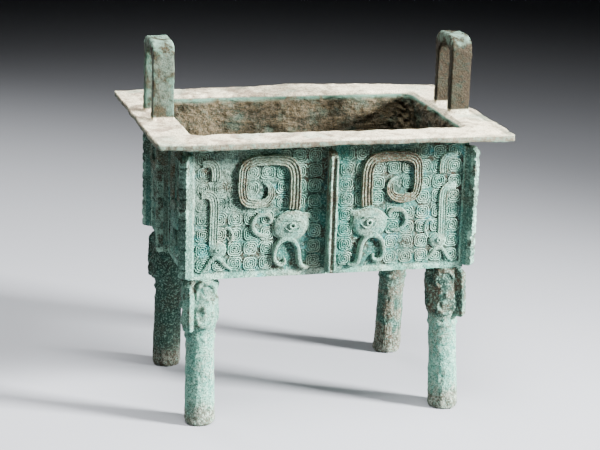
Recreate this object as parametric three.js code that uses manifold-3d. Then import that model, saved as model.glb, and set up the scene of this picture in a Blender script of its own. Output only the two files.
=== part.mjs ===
// A square bronze ding: a four-legged ritual food vessel cast in one piece.
// Units are millimetres. +Z is up, X runs along the long sides and the front looks along -Y.
// The origin is on the ground, under the middle of the vessel.

import * as THREE from "three";
import { mergeVertices } from "three/addons/utils/BufferGeometryUtils.js";
import Module from "manifold-3d";

const wasm = await Module();
wasm.setup();

// Rim and box

const rimLength = 200;
const rimDepth = 142;
const rimThickness = 3.6;
const rimTop = 165; // height of the rim's upper face above the ground
const boxLength = 160;
const boxDepth = 105;
const boxBottom = 84; // height of the box's underside above the ground
const wall = 3.2;
const floorThickness = 3.5;
const cavityCornerRadius = 7;
const lipFlare = 2.2; // how far the opening widens, to its edge at the rim
const lipHeight = 5; // over this height below the rim's upper face

// Handles, which stand on the two short sides of the rim

const handleWidth = 30; // across, along Y
const handleHeight = 44; // above the rim
const handleThickness = 12; // along X
const handleStrap = 5.6; // thickness of the bent strap
const handleShoulderRadius = 9;
const handleBevel = 0.8;
const handleInset = 1.5; // from the opening's edge to the handle's inner face
const handleRoot = 2; // how far the handle is sunk in the rim

// Legs

const legRadius = 8;
const footRadius = 8.4;
const footEdge = 1.2; // height of the rounded edge at the foot
const legCapRadius = 9.4; // the thicker upper part that bears a mask
const legCapHeight = 31;
const legRingHeight = 2.2;
const legRingStep = 0.8;
const legInset = 9.4; // from the box's side faces to the leg's axis, at the top
const footOffsets = [
  // how far each foot stands out from its leg's top, along X and Y
  { x: 1, y: 1, out: [-1.5, 4.5] },
  { x: -1, y: 1, out: [0.5, 5] },
  { x: -1, y: -1, out: [0.5, 7] },
  { x: 1, y: -1, out: [2, 7] },
];
const legSides = 14;
const maskEyeTurn = 46; // degrees round the leg, from its flange to each eye
const maskEyeRadius = 2.5;
const maskEyeDepth = 14.3; // below the box's underside
const maskHornWidth = 2.8;
const maskRise = 0.9; // how far a horn stands out of the cap

// Flanges, the notched ribs on the corners, the middles of the sides and the legs

const flangeReach = 5.4;
const flangeThickness = 5.2;
const middleFlangeReach = 7.4;
const middleFlangeThickness = 3.4;
const legFlangeReach = 5.2;
const legFlangeThickness = 5;
const flangeTopGap = 6.8; // below the rim
const flangeBottomGap = 2; // above the box's underside
const flangeStep = 3.2; // the narrow neck at a flange's top
const notchPitch = 5.7;
const notchDepth = 0.9;
const notchWidth = 1;
const flangeRoot = 3.6; // how far a flange is sunk in what bears it

// Relief

const reliefHeight = 2.5; // the large dragons' coiled bodies
const mouthHeight = 2.2;
const skullHeight = 3.2;
const eyeHeight = 3.9;
const smallReliefHeight = 1.6; // narrow dragons and crests
const narrowJawHeight = 1.4;
const narrowSkullHeight = 2.1;
const narrowEyeHeight = 2.7;
const shortSideSqueeze = 0.93; // how much narrower the dragons are on the short sides
const reliefRoot = 0.2; // how far the straight foot of raised work is sunk in the wall
const reliefEdge = 0.9; // how much narrower a raised band is at its top than at its foot

const boxTop = rimTop - rimThickness;
const cavityLength = boxLength - 2 * wall;
const cavityDepth = boxDepth - 2 * wall;
const overlap = 0.5; // how far joined bodies run into each other

// Solids

function solidOf(geometry) {
  const bare = geometry.clone();
  bare.deleteAttribute("normal");
  bare.deleteAttribute("uv");
  const merged = mergeVertices(bare, 1e-4);
  return new wasm.Manifold(
    new wasm.Mesh({
      numProp: 3,
      vertProperties: new Float32Array(merged.attributes.position.array),
      triVerts: new Uint32Array(merged.index.array),
    }),
  );
}

function geometryOf(solid) {
  const mesh = solid.getMesh();
  const geometry = new THREE.BufferGeometry();
  geometry.setAttribute(
    "position",
    new THREE.BufferAttribute(new Float32Array(mesh.vertProperties), 3),
  );
  geometry.setIndex(new THREE.BufferAttribute(new Uint32Array(mesh.triVerts), 1));
  const flat = geometry.toNonIndexed();
  flat.computeVertexNormals();
  return flat;
}

function joined(geometries) {
  return geometries.map(solidOf).reduce((whole, next) => whole.add(next));
}

function rectangle(length, depth) {
  const shape = new THREE.Shape();
  shape.moveTo(-length / 2, -depth / 2);
  shape.lineTo(length / 2, -depth / 2);
  shape.lineTo(length / 2, depth / 2);
  shape.lineTo(-length / 2, depth / 2);
  shape.closePath();
  return shape;
}

function roundedRectangle(length, depth, radius) {
  const x = length / 2 - radius;
  const y = depth / 2 - radius;
  const shape = new THREE.Shape();
  shape.absarc(x, -y, radius, -Math.PI / 2, 0, false);
  shape.absarc(x, y, radius, 0, Math.PI / 2, false);
  shape.absarc(-x, y, radius, Math.PI / 2, Math.PI, false);
  shape.absarc(-x, -y, radius, Math.PI, 1.5 * Math.PI, false);
  shape.closePath();
  return shape;
}

function upright(shape, bottom, top, curveSegments = 4) {
  const geometry = new THREE.ExtrudeGeometry(shape, {
    depth: top - bottom,
    bevelEnabled: false,
    curveSegments,
  });
  return geometry.translate(0, 0, bottom);
}

// Box and rim

function vessel() {
  const box = upright(rectangle(boxLength, boxDepth), boxBottom, boxTop + overlap);
  const rim = upright(rectangle(rimLength, rimDepth), boxTop, rimTop);
  return joined([box, rim]);
}

// The inside, with its mouth widened by the lip's flare.

function cavity() {
  const shape = roundedRectangle(cavityLength, cavityDepth, cavityCornerRadius);
  const inside = upright(shape, boxBottom + floorThickness, rimTop + overlap);
  const mouth = new THREE.ExtrudeGeometry(shape, {
    depth: lipHeight,
    bevelEnabled: true,
    bevelThickness: lipHeight,
    bevelSize: lipFlare,
    bevelOffset: 0,
    bevelSegments: 2,
    curveSegments: 4,
  });
  mouth.translate(0, 0, rimTop);
  return joined([inside, mouth]);
}

// One handle, drawn in its own plane and set on the rim. side is 1 at +X and -1 at -X.

function handle(side) {
  const outer = handleWidth / 2;
  const inner = outer - handleStrap;
  const shoulder = handleHeight - handleShoulderRadius;
  const openingTop = handleHeight - handleStrap;
  const shape = new THREE.Shape();
  shape.moveTo(outer, -handleRoot);
  shape.lineTo(outer, shoulder);
  shape.absarc(
    outer - handleShoulderRadius, shoulder, handleShoulderRadius, 0, Math.PI / 2, false,
  );
  shape.absarc(
    handleShoulderRadius - outer, shoulder, handleShoulderRadius, Math.PI / 2, Math.PI, false,
  );
  shape.lineTo(-outer, -handleRoot);
  shape.lineTo(-inner, -handleRoot);
  shape.lineTo(-inner, openingTop - inner);
  shape.absarc(0, openingTop - inner, inner, Math.PI, 0, true);
  shape.lineTo(inner, -handleRoot);
  shape.closePath();
  const geometry = new THREE.ExtrudeGeometry(shape, {
    depth: handleThickness - 2 * handleBevel,
    bevelEnabled: true,
    bevelThickness: handleBevel,
    bevelSize: handleBevel,
    bevelOffset: -handleBevel,
    bevelSegments: 1,
    curveSegments: 4,
  });
  geometry.translate(0, 0, handleBevel - handleThickness / 2);
  geometry.rotateX(Math.PI / 2).rotateZ(Math.PI / 2);
  const reach = cavityLength / 2 + lipFlare + handleInset + handleThickness / 2;
  return geometry.translate(side * reach, 0, rimTop);
}

// A flange: a rib drawn with its reach along x and its height along y. On the box its outer
// edge has a row of notches, spaced by pitch, and on the legs it is plain.

function flange(reach, thickness, bottom, top, pitch = Infinity) {
  const shape = new THREE.Shape();
  shape.moveTo(-flangeRoot, bottom);
  shape.lineTo(reach - notchDepth, bottom);
  shape.lineTo(reach, bottom + notchDepth);
  const usable = top - bottom - 2 * flangeStep;
  const notches = Math.floor(usable / pitch);
  for (let i = 0; i < notches; i++) {
    const middle = bottom + flangeStep + ((i + 0.5) * usable) / notches;
    shape.lineTo(reach, middle - notchWidth / 2);
    shape.lineTo(reach - notchDepth, middle);
    shape.lineTo(reach, middle + notchWidth / 2);
  }
  shape.lineTo(reach, top - flangeStep);
  shape.lineTo(reach / 2, top);
  shape.lineTo(-flangeRoot, top);
  shape.closePath();
  const geometry = new THREE.ExtrudeGeometry(shape, {
    depth: thickness,
    bevelEnabled: false,
  });
  return geometry.translate(0, 0, -thickness / 2).rotateX(Math.PI / 2);
}

function cornerFlanges() {
  const low = boxBottom + flangeBottomGap;
  const high = boxTop - flangeTopGap;
  return [[1, 1], [-1, 1], [-1, -1], [1, -1]].map(([x, y]) =>
    flange(flangeReach, flangeThickness, low, high, notchPitch)
      .rotateZ(Math.atan2(y, x))
      .translate((x * boxLength) / 2, (y * boxDepth) / 2, 0),
  );
}

function middleFlanges() {
  const low = boxBottom + flangeBottomGap;
  const high = boxTop - flangeTopGap;
  return [0, 1, 2, 3].map((quarter) => {
    const out = quarter % 2 ? boxDepth / 2 : boxLength / 2;
    const rib = flange(middleFlangeReach, middleFlangeThickness, low, high, notchPitch);
    rib.translate(out, 0, 0);
    return rib.rotateZ((quarter * Math.PI) / 2);
  });
}

// A leg: a turned shaft with a thicker cap that bears a mask. It is made upright on the Z axis,
// and then leant.

function legProfile() {
  const capBottom = boxBottom - legCapHeight;
  const rows = [
    [0, 0],
    [footRadius - footEdge, 0],
    [footRadius, footEdge],
    [legRadius, capBottom - 2 * legRingHeight],
    [legRadius + legRingStep, capBottom - legRingHeight],
    [legRadius, capBottom],
    [legCapRadius, capBottom + legCapHeight / 4],
    [legCapRadius - legRingStep / 2, boxBottom + overlap],
    [0, boxBottom + overlap],
  ];
  return rows.map(([radius, height]) => new THREE.Vector2(radius, height));
}

// A stroke on the leg's cap, wound round it: turn is in degrees from the flange, and height
// is above the ground.

function capStroke(points, thickness, rise) {
  const path = new THREE.CatmullRomCurve3(
    points.map(([turn, height]) => {
      const angle = THREE.MathUtils.degToRad(turn);
      const radius = legCapRadius + rise - thickness / 2;
      return new THREE.Vector3(radius * Math.cos(angle), radius * Math.sin(angle), height);
    }),
  );
  const corners = [0, 1, 2, 3].map((i) => {
    const angle = (i * Math.PI) / 2;
    return new THREE.Vector2(Math.cos(angle), Math.sin(angle)).multiplyScalar(thickness / 2);
  });
  return new THREE.ExtrudeGeometry(new THREE.Shape(corners), {
    steps: points.length + 1,
    extrudePath: path,
    bevelEnabled: false,
  });
}

// Half a mask on one side of the leg's flange: an oval eye under a horn that curls over it.

function legMask(side) {
  const turn = THREE.MathUtils.degToRad(side * maskEyeTurn);
  const eyeball = new THREE.SphereGeometry(maskEyeRadius, 6, 4).scale(0.7, 1.15, 0.85);
  eyeball.rotateZ(turn).translate(
    legCapRadius * Math.cos(turn), legCapRadius * Math.sin(turn), boxBottom - maskEyeDepth,
  );
  const horn = [[34, 10], [36, 4.5], [62, 3], [84, 6], [80, 11]].map(([angle, depth]) => [
    side * angle, boxBottom - depth,
  ]);
  return [eyeball, capStroke(horn, maskHornWidth, maskRise)];
}

function leg({ x, y, out }) {
  const shaft = new THREE.LatheGeometry(legProfile(), legSides).rotateX(Math.PI / 2);
  const rib = flange(
    legFlangeReach, legFlangeThickness, boxBottom - legCapHeight + 2, boxBottom + overlap,
  ).translate(legCapRadius - 1, 0, 0);
  const parts = [rib, ...legMask(1), ...legMask(-1)].map((piece) =>
    piece.rotateZ(Math.atan2(y, x)),
  );
  // Leaning keeps each level flat: points move sideways by their depth below the box.
  const topX = boxLength / 2 - legInset;
  const topY = boxDepth / 2 - legInset;
  const lean = new THREE.Matrix4().set(
    1, 0, (-x * out[0]) / boxBottom, x * (topX + out[0]),
    0, 1, (-y * out[1]) / boxBottom, y * (topY + out[1]),
    0, 0, 1, 0,
    0, 0, 0, 1,
  );
  return joined([shaft, ...parts].map((piece) => piece.applyMatrix4(lean)));
}

// Relief on a side, drawn with u to the right from the side's middle and v up from the ground.

function stroke(points, widths, height, samples, mirror) {
  const path = new THREE.SplineCurve(points.map(([u, v]) => new THREE.Vector2(mirror * u, v)));
  const widthCurve = new THREE.SplineCurve(widths.map((w, i) => new THREE.Vector2(i, w)));
  const left = [];
  const right = [];
  for (let i = 0; i <= samples; i++) {
    const t = i / samples;
    const middle = path.getPoint(t);
    const along = path.getTangent(t);
    const half = widthCurve.getPoint(t).y / 2;
    left.push(new THREE.Vector2(middle.x - along.y * half, middle.y + along.x * half));
    right.push(new THREE.Vector2(middle.x + along.y * half, middle.y - along.x * half));
  }
  const shape = new THREE.Shape([...left, ...right.reverse()]);
  // The bevels make the band's sides slope. The lower one lies inside the wall.
  const edge = Math.min(reliefEdge, Math.min(...widths) / 3);
  const geometry = new THREE.ExtrudeGeometry(shape, {
    depth: reliefRoot,
    bevelEnabled: true,
    bevelThickness: height,
    bevelSize: edge,
    bevelOffset: -edge,
    bevelSegments: 1,
  });
  return geometry.translate(0, 0, -reliefRoot);
}

function dome(u, v, halfLength, halfHeight, height, tilt, mirror) {
  const geometry = new THREE.SphereGeometry(1, 10, 6);
  geometry.rotateX(Math.PI / 2).scale(halfLength, halfHeight, height);
  geometry.rotateZ(mirror * THREE.MathUtils.degToRad(tilt));
  return geometry.translate(mirror * u, v, 0);
}

function eye(u, v, radius, height, mirror) {
  const geometry = new THREE.CylinderGeometry(radius * 0.7, radius, height + reliefRoot, 8);
  geometry.rotateX(Math.PI / 2);
  return geometry.translate(mirror * u, v, (height - reliefRoot) / 2);
}

// A large dragon: a body coiled above its head, and a mouth that gapes downwards.

function largeDragon(mirror) {
  const body = stroke(
    [
      [20.8, 117], [20.5, 132], [20.8, 141.5], [25, 148.6], [33, 150.2], [43, 149.6],
      [48.8, 145], [49.9, 137], [47.8, 129.4], [41.6, 126.5], [35.8, 128], [33.8, 132.6],
      [36.8, 137.4],
    ],
    [6.6, 6.6, 6.4, 6.2, 5.8, 5.6, 5.4, 5.2, 5.2, 5, 4.4, 3.6, 1.8],
    reliefHeight, 17, mirror,
  );
  // from the hook of the lower jaw, over the open mouth, to the hook of the trunk
  const mouth = stroke(
    [
      [10.9, 88.9], [15.4, 89.9], [17.4, 94.4], [18.5, 101.2], [22.4, 105.4], [27, 105],
      [30.4, 101.4], [31.2, 95.4], [29, 91.7], [26, 92.2], [25.6, 94.6],
    ],
    [1.4, 2.6, 2.6, 3, 3.6, 3.6, 3.2, 2.8, 2.6, 2.2, 1.4],
    mouthHeight, 14, mirror,
  );
  const crest = stroke(
    [[34.6, 118.8], [38, 121.1], [42.6, 119.6], [43.8, 114], [40.6, 108.7], [35.6, 108.2]],
    [2, 2.4, 2.4, 2.4, 2.4, 1.8],
    smallReliefHeight, 6, mirror,
  );
  const skull = dome(22.4, 112.8, 11, 8.4, skullHeight, -8, mirror);
  const pupil = eye(22, 113.6, 2.2, eyeHeight, mirror);
  return [body, mouth, crest, skull, pupil];
}

// A narrow dragon beside it: an upright body with its head at the foot and its tail apart above.

function narrowDragon(mirror) {
  const body = stroke(
    [[65.8, 103], [65.4, 120], [65.6, 130], [68.2, 133.2], [71.6, 132.4], [73, 129]],
    [4.8, 4.8, 4.6, 3.8, 3, 2],
    smallReliefHeight, 6, mirror,
  );
  const tail = stroke(
    [[64.6, 139.8], [64.6, 146.4], [66.6, 149.8], [69.8, 150.2], [72, 148]],
    [4.4, 4.2, 3.6, 2.8, 2],
    smallReliefHeight, 5, mirror,
  );
  const jaws = stroke(
    [[55.2, 88.6], [60, 93.2], [64.2, 96.6], [68.2, 93.4], [72, 88.4]],
    [1.4, 2.6, 3.2, 2.6, 1.4],
    narrowJawHeight, 6, mirror,
  );
  const crest = stroke(
    [[60.4, 111.4], [57.4, 112.2], [55.5, 108.8], [56.8, 104.2]],
    [1.6, 2, 2, 1.6],
    smallReliefHeight, 4, mirror,
  );
  const skull = dome(63.4, 100.6, 5.2, 4.6, narrowSkullHeight, 0, mirror);
  const pupil = eye(63.6, 100.6, 1.5, narrowEyeHeight, mirror);
  return [body, tail, jaws, crest, skull, pupil];
}

// Relief is drawn facing +Z, stood up to face -Y, and then turned to its side.

function reliefOnSides() {
  const pieces = [];
  for (let quarter = 0; quarter < 4; quarter++) {
    const long = quarter % 2 === 0;
    const out = (long ? boxDepth : boxLength) / 2;
    for (const mirror of [1, -1]) {
      const drawn = long ? [...largeDragon(mirror), ...narrowDragon(mirror)] : largeDragon(mirror);
      for (const piece of drawn) {
        piece.scale(long ? 1 : shortSideSqueeze, 1, 1);
        piece.rotateX(Math.PI / 2).translate(0, -out, 0);
        pieces.push(piece.rotateZ((quarter * Math.PI) / 2));
      }
    }
  }
  return pieces;
}

function casting() {
  let solid = vessel();
  for (const side of [1, -1]) solid = solid.add(solidOf(handle(side)));
  for (const foot of footOffsets) solid = solid.add(leg(foot));
  for (const piece of [...cornerFlanges(), ...middleFlanges(), ...reliefOnSides()]) {
    solid = solid.add(solidOf(piece));
  }
  return solid.subtract(cavity());
}

const bronze = new THREE.MeshStandardMaterial({
  color: new THREE.Color(0.47, 0.6, 0.55),
  roughness: 0.8,
  metalness: 0.1,
});

const ding = new THREE.Group();
const body = new THREE.Mesh(geometryOf(casting()), bronze);
body.name = "ding_casting";
ding.add(body);

export default ding;
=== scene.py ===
# %% [markdown]
# A square bronze ding, dressed for the camera. The frame already holds the casting as a
# plain solid. Here the same vessel is modelled again with the skin of an old casting: soft
# edges, raised dragons with engraved lines, a ground of thunder spirals and a thick patina.
# The frame is in metres, with +Z up and the front of the vessel towards -Y. A vessel is
# easier to think of in millimetres, so sizes below are in millimetres, and MM turns them
# into metres where they meet Blender.

# %% Load the frame
import math
import random

import bmesh
import bpy
from mathutils import Matrix, Vector, noise


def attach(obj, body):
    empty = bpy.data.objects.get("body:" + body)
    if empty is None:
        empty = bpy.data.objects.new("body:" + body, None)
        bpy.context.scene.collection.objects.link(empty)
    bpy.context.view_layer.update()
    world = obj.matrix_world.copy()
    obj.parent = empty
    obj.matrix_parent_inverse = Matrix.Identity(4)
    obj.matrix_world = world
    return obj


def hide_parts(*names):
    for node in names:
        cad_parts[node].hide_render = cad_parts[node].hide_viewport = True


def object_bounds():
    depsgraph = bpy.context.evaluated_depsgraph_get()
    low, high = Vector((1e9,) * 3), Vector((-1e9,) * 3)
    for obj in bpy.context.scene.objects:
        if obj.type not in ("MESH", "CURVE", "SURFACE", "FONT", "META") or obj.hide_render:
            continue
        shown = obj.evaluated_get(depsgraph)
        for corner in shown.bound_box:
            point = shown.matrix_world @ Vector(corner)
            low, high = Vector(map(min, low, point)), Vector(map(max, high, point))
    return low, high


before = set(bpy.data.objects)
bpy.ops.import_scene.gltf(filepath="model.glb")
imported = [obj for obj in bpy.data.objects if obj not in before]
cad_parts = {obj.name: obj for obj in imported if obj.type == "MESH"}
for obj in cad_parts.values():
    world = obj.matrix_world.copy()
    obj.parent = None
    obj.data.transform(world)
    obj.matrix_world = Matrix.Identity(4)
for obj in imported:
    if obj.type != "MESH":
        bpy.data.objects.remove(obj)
cad_low, cad_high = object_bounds()
MM = 0.001
print("frame holds", sorted(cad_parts), "height", round(cad_high.z / MM), "mm")

# %% [markdown]
# The camera comes first, because every later choice is checked through it. Its place and
# turn were worked out from the rim, the legs and the handles in the photograph: it stands
# about a metre away, to the left of the middle, and looks down by about 16 degrees.

# %% Camera at the photograph's viewing angle
CAMERA_PLACE = Vector((-276.2, -997.2, 388.6)) * MM
CAMERA_TURN = math.radians(-15.35)
CAMERA_TILT = math.radians(15.72)
CAMERA_ROLL = math.radians(1.77)
FOCAL_PIXELS = 1849
IMAGE_WIDTH = 600
SENSOR = 36
NEAREST = 10

back = Vector((
    math.sin(CAMERA_TURN) * math.cos(CAMERA_TILT),
    -math.cos(CAMERA_TURN) * math.cos(CAMERA_TILT),
    math.sin(CAMERA_TILT),
))
level = (-back).cross(Vector((0, 0, 1))).normalized()
upright = level.cross(-back)
right = math.cos(CAMERA_ROLL) * level + math.sin(CAMERA_ROLL) * upright
up = math.cos(CAMERA_ROLL) * upright - math.sin(CAMERA_ROLL) * level
bpy.ops.object.camera_add(location=CAMERA_PLACE)
camera = bpy.context.active_object
camera.name = "view_of_the_photograph"
camera.rotation_euler = Matrix((right, up, back)).transposed().to_euler()
camera.data.sensor_width = SENSOR
camera.data.lens = FOCAL_PIXELS * SENSOR / IMAGE_WIDTH
camera.data.clip_start = NEAREST * MM
bpy.context.scene.camera = camera
print("lens", round(camera.data.lens, 1), "mm")

# %% [markdown]
# A small set of hand tools comes next. An operator acts on all that is selected, so each
# tool first clears the selection and then picks what it needs. A piece's place is put into
# its mesh at once, because the patina reads places on the vessel and must not slide.

# %% Hold one piece, and name what was added


def clear_selection():
    """Leave edit mode and select nothing."""
    if bpy.context.object and bpy.context.object.mode != "OBJECT":
        bpy.ops.object.mode_set(mode="OBJECT")
    bpy.ops.object.select_all(action="DESELECT")


def hold(piece):
    """Select one piece alone and make it the active one."""
    clear_selection()
    piece.select_set(True)
    bpy.context.view_layer.objects.active = piece


def newly_added(name):
    """Name what a primitive operator has just added, and put its place in its mesh."""
    piece = bpy.context.active_object
    piece.name = name
    piece.data.name = name
    hold(piece)
    bpy.ops.object.transform_apply(location=True, rotation=True, scale=True)
    return piece


def block(name, low, high):
    """A cube primitive stretched between two corners."""
    clear_selection()
    low, high = Vector(low) * MM, Vector(high) * MM
    bpy.ops.mesh.primitive_cube_add(size=1, location=(low + high) / 2, scale=high - low)
    return newly_added(name)


# %% [markdown]
# With no mouse, edges and faces are picked by a test of where they are. That also keeps
# working when a size changes, which a list of numbered edges wouldn't.

# %% Pick edges and faces by their place
SAME_PLACE = 0.1


def pick(piece, kind, test):
    """In edit mode, select the edges or faces that pass a test of their places."""
    hold(piece)
    bpy.ops.object.mode_set(mode="EDIT")
    bpy.ops.mesh.select_mode(type=kind)
    bpy.ops.mesh.select_all(action="DESELECT")
    shape = bmesh.from_edit_mesh(piece.data)
    if kind == "EDGE":
        for edge in shape.edges:
            edge.select_set(test(*(vertex.co / MM for vertex in edge.verts)))
    else:
        for face in shape.faces:
            face.select_set(test(face.calc_center_median() / MM))
    bmesh.update_edit_mesh(piece.data)


def is_upright(a, b):
    """True for an edge that runs straight up."""
    return abs(a.x - b.x) + abs(a.y - b.y) < SAME_PLACE


# %% [markdown]
# Modifiers are applied at once, so that the next step works on real faces. Extruding
# and sweeping can leave doubles and faces that look inwards, which the last tool mends.

# %% Modifiers, joining and cleaning
DOUBLES = 0.001


def apply_modifier(piece, kind, **settings):
    """Add one modifier with its settings, and apply it."""
    hold(piece)
    modifier = piece.modifiers.new(kind.lower(), kind)
    for key, value in settings.items():
        setattr(modifier, key, value)
    bpy.ops.object.modifier_apply(modifier=modifier.name)


def cut_or_add(piece, other, operation):
    """Cut one closed mesh out of another or weld it on, and delete it."""
    apply_modifier(piece, "BOOLEAN", operation=operation, solver="EXACT", object=other)
    bpy.data.objects.remove(other)


def join(pieces, name):
    """Join several pieces into the first of them."""
    clear_selection()
    for piece in pieces:
        piece.select_set(True)
    bpy.context.view_layer.objects.active = pieces[0]
    bpy.ops.object.join()
    pieces[0].name = name
    pieces[0].data.name = name
    return pieces[0]


def face_outwards(piece):
    """Merge doubles and turn every face outwards."""
    hold(piece)
    bpy.ops.object.mode_set(mode="EDIT")
    bpy.ops.mesh.select_all(action="SELECT")
    bpy.ops.mesh.remove_doubles(threshold=DOUBLES * MM)
    bpy.ops.mesh.normals_make_consistent(inside=False)
    bpy.ops.object.mode_set(mode="OBJECT")


# %% [markdown]
# The vessel is an open box under a flat rim. On the real one the wall turns outwards into
# the rim in a soft curve. It could be extruded wall by wall, but two cubes welded together
# keep the outside true to the frame. The inside is cut from a rounded block whose top
# widens in steps, which leaves the soft lip.

# %% Box and rim
RIM_HALF = Vector((cad_high.x, cad_high.y)) / MM
RIM_TOP = 165
RIM_BOTTOM = 161.4
RIM_CORNER = 1.2
BOX_HALF = Vector((80, 52.5))
BOX_BOTTOM = 84
FLOOR_TOP = 87.5
INSIDE_HALF = Vector((76.8, 49.3))
INSIDE_CORNER = 7
LIP_STEPS = [(2.5, 0.3), (1.5, 0.9), (1, 1.0)]
OVERLAP = 1


def inside_block():
    """The block that is cut out of the vessel: a rounded well with a widening mouth."""
    well_top = RIM_TOP - sum(rise for rise, spread in LIP_STEPS)
    well = block("inside", (*-INSIDE_HALF, FLOOR_TOP), (*INSIDE_HALF, well_top))
    pick(well, "EDGE", is_upright)
    bpy.ops.mesh.bevel(offset=INSIDE_CORNER * MM, segments=5, affect="EDGES")
    pick(well, "FACE", lambda middle: middle.z > well_top - SAME_PLACE)
    half = INSIDE_HALF.copy()
    for rise, spread in [*LIP_STEPS, (OVERLAP, 0)]:
        grown = half + Vector((spread, spread))
        bpy.ops.mesh.extrude_region_move(TRANSFORM_OT_translate={"value": (0, 0, rise * MM)})
        bpy.ops.transform.resize(value=(grown.x / half.x, grown.y / half.y, 1))
        half = grown
    face_outwards(well)
    return well


def vessel():
    """The open box with its rim."""
    box = block("box", (*-BOX_HALF, BOX_BOTTOM), (*BOX_HALF, RIM_BOTTOM + OVERLAP))
    rim = block("rim", (*-RIM_HALF, RIM_BOTTOM), (*RIM_HALF, RIM_TOP))
    pick(rim, "EDGE", is_upright)
    bpy.ops.mesh.bevel(offset=RIM_CORNER * MM, segments=2, affect="EDGES")
    bpy.ops.object.mode_set(mode="OBJECT")
    cut_or_add(box, rim, "UNION")
    cut_or_add(box, inside_block(), "DIFFERENCE")
    return box


bare_vessel = vessel()
print("walls are", round(BOX_HALF.x - INSIDE_HALF.x, 1), "mm, rim", RIM_TOP - RIM_BOTTOM, "mm")

# %% [markdown]
# Each handle is a thick strap bent into a loop that stands on the rim, flush with the
# edge of the opening. A swept curve would give a round strap, but the real one has flat
# faces. So a block with two heavily bevelled top edges gives the shoulders, and a second
# block, bevelled until its top is round, is cut through it for the loop.

# %% Handles
HANDLE_HALF = 15
HANDLE_TOP = RIM_TOP + 44
HANDLE_STRAP = 5.6
HANDLE_SHOULDER = 9
HANDLE_X = (80.5, 92.5)
HANDLE_ROOT = 2
FULL_ROUND = 0.99


def crosses_at(height):
    """A test for the edges at the top of a block that run along X."""
    return lambda a, b: min(a.z, b.z) > height - 1 and abs(a.y - b.y) < SAME_PLACE


def handle(side):
    """One loop handle, at +X for side 1 and at -X for side -1."""
    near, far = sorted(side * x for x in HANDLE_X)
    loop = block(
        "handle", (near, -HANDLE_HALF, RIM_TOP - HANDLE_ROOT), (far, HANDLE_HALF, HANDLE_TOP),
    )
    pick(loop, "EDGE", crosses_at(HANDLE_TOP))
    bpy.ops.mesh.bevel(offset=HANDLE_SHOULDER * MM, segments=7, affect="EDGES")
    gap = HANDLE_HALF - HANDLE_STRAP
    arch = HANDLE_TOP - HANDLE_STRAP
    hole = block(
        "gap", (near - OVERLAP, -gap, RIM_TOP - 2 * HANDLE_ROOT), (far + OVERLAP, gap, arch),
    )
    pick(hole, "EDGE", crosses_at(arch))
    bpy.ops.mesh.bevel(offset=FULL_ROUND * gap * MM, segments=8, affect="EDGES")
    bpy.ops.object.mode_set(mode="OBJECT")
    cut_or_add(loop, hole, "DIFFERENCE")
    return loop


handles = [handle(1), handle(-1)]
print(len(handles), "handles,", HANDLE_TOP - RIM_TOP, "mm high above the rim")

# %% [markdown]
# A ragged seam runs down the inside, in the corner at the back right, where the casting
# was mended. It has no clear shape of its own, so a row of small balls of chance sizes
# gives it. They melt into the wall in the next step.

# %% Seam inside
SEAM_PLACE = Vector((74.2, 47.6))
SEAM_BELOW_RIM = 5
SEAM_STEPS = 16
SEAM_PITCH = 3
SEAM_SEED = 3


def ball(centre, radius):
    """A ball primitive."""
    clear_selection()
    bpy.ops.mesh.primitive_uv_sphere_add(
        segments=16, ring_count=10, radius=radius * MM, location=Vector(centre) * MM,
    )
    return newly_added("ball")


def seam():
    """Small balls down the inside corner at the back right."""
    rng = random.Random(SEAM_SEED)
    balls = []
    for index in range(SEAM_STEPS):
        height = RIM_TOP - SEAM_BELOW_RIM - SEAM_PITCH * index
        place = (SEAM_PLACE.x + rng.uniform(-1.6, 0.8), SEAM_PLACE.y + rng.uniform(-1, 1), height)
        balls.append(ball(place, rng.uniform(1.2, 2.4)))
    return balls


seam_balls = seam()
print("seam of", len(seam_balls), "balls")

# %% [markdown]
# The box, the handles and the seam are one casting, with no sharp line where they meet. A
# voxel remesh melts them into one skin, and a little smoothing softens its edges. The same
# tool serves the flanges, the legs and the dragons later.

# %% One skin for the vessel


def fuse(piece, voxel, smoothing, triangles):
    """Melt a pile of closed shells into one skin, soften it and thin it out."""
    apply_modifier(piece, "REMESH", mode="VOXEL", voxel_size=voxel * MM)
    apply_modifier(piece, "SMOOTH", factor=0.5, iterations=smoothing)
    count = 2 * len(piece.data.polygons)
    if count > triangles:
        apply_modifier(piece, "DECIMATE", ratio=triangles / count)
    print(piece.name, "fused from", count, "triangles to", len(piece.data.polygons), "faces")


casting = join([bare_vessel, *handles, *seam_balls], "vessel_and_handles")
fuse(casting, voxel=0.75, smoothing=2, triangles=150000)

# %% [markdown]
# Long burial has roughened the skin. Noise in two scales pushes each point in or out:
# most inside the box, less on the rim and the handles, and least on the walls, whose
# relief has to stay readable. The upper left of the front is eaten deeper. Moving points
# gives a real surface, which a bump in the finish wouldn't.

# %% Wear of the surface
WIDE_NOISE = 0.09
FINE_NOISE = 0.42
WEAR_INSIDE = 2.8
WEAR_WHERE_EATEN = 0.9
EATEN_RIGHT = -44
EATEN_BOTTOM = 112
EATEN_BLEND = Vector((12, 14))


def between(value):
    """A value held between 0 and 1."""
    return max(0, min(1, value))


def eaten(place):
    """How far corrosion has eaten the front wall: 1 at its upper left and 0 elsewhere."""
    if place.y > -BOX_HALF.y + 1:
        return 0
    leftwards = (EATEN_RIGHT - place.x) / EATEN_BLEND.x
    upwards = (place.z - EATEN_BOTTOM) / EATEN_BLEND.y
    return between(leftwards) * between(upwards)


def is_inside(place):
    """True on the inner faces of the box."""
    within = abs(place.x) < INSIDE_HALF.x + 1 and abs(place.y) < INSIDE_HALF.y + 1
    return within and FLOOR_TOP - 1 < place.z < RIM_TOP - 3


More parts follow.
